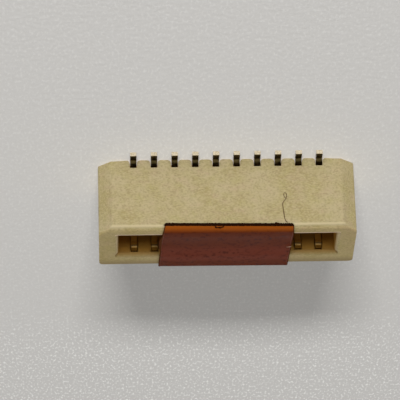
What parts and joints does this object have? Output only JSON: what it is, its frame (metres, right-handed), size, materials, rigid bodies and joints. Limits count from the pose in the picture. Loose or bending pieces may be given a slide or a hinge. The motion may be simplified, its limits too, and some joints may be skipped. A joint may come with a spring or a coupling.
{
  "type": "board-to-board connector",
  "caption": "Upright surface-mount receptacle for stacking circuit boards: slotted housing, two rows of spring contacts with solder feet, and a pick-up film.",
  "frame": {"origin": "on the board plane, under the middle of the slot", "axes": "+X along the contact rows, +Z in the mating direction, -Y towards the side with the polarising corner chamfers"},
  "size_m": [0.0124, 0.005, 0.0039],
  "materials": {
    "housing": "beige high-temperature moulding plastic, faintly mottled",
    "contact": "thin gold plating, dull, with bright cut foot ends",
    "film": "glossy amber film, darker over the slot"
  },
  "bodies": {
    "root": {"housing": "housing", "contact_front_01": "contact", "contact_front_02": "contact", "contact_front_03": "contact", "contact_front_04": "contact", "contact_front_05": "contact", "contact_front_06": "contact", "contact_front_07": "contact", "contact_front_08": "contact", "contact_front_09": "contact", "contact_front_10": "contact", "contact_rear_01": "contact", "contact_rear_02": "contact", "contact_rear_03": "contact", "contact_rear_04": "contact", "contact_rear_05": "contact", "contact_rear_06": "contact", "contact_rear_07": "contact", "contact_rear_08": "contact", "contact_rear_09": "contact", "contact_rear_10": "contact", "pickup_film": "film"}
  },
  "joints": []
}
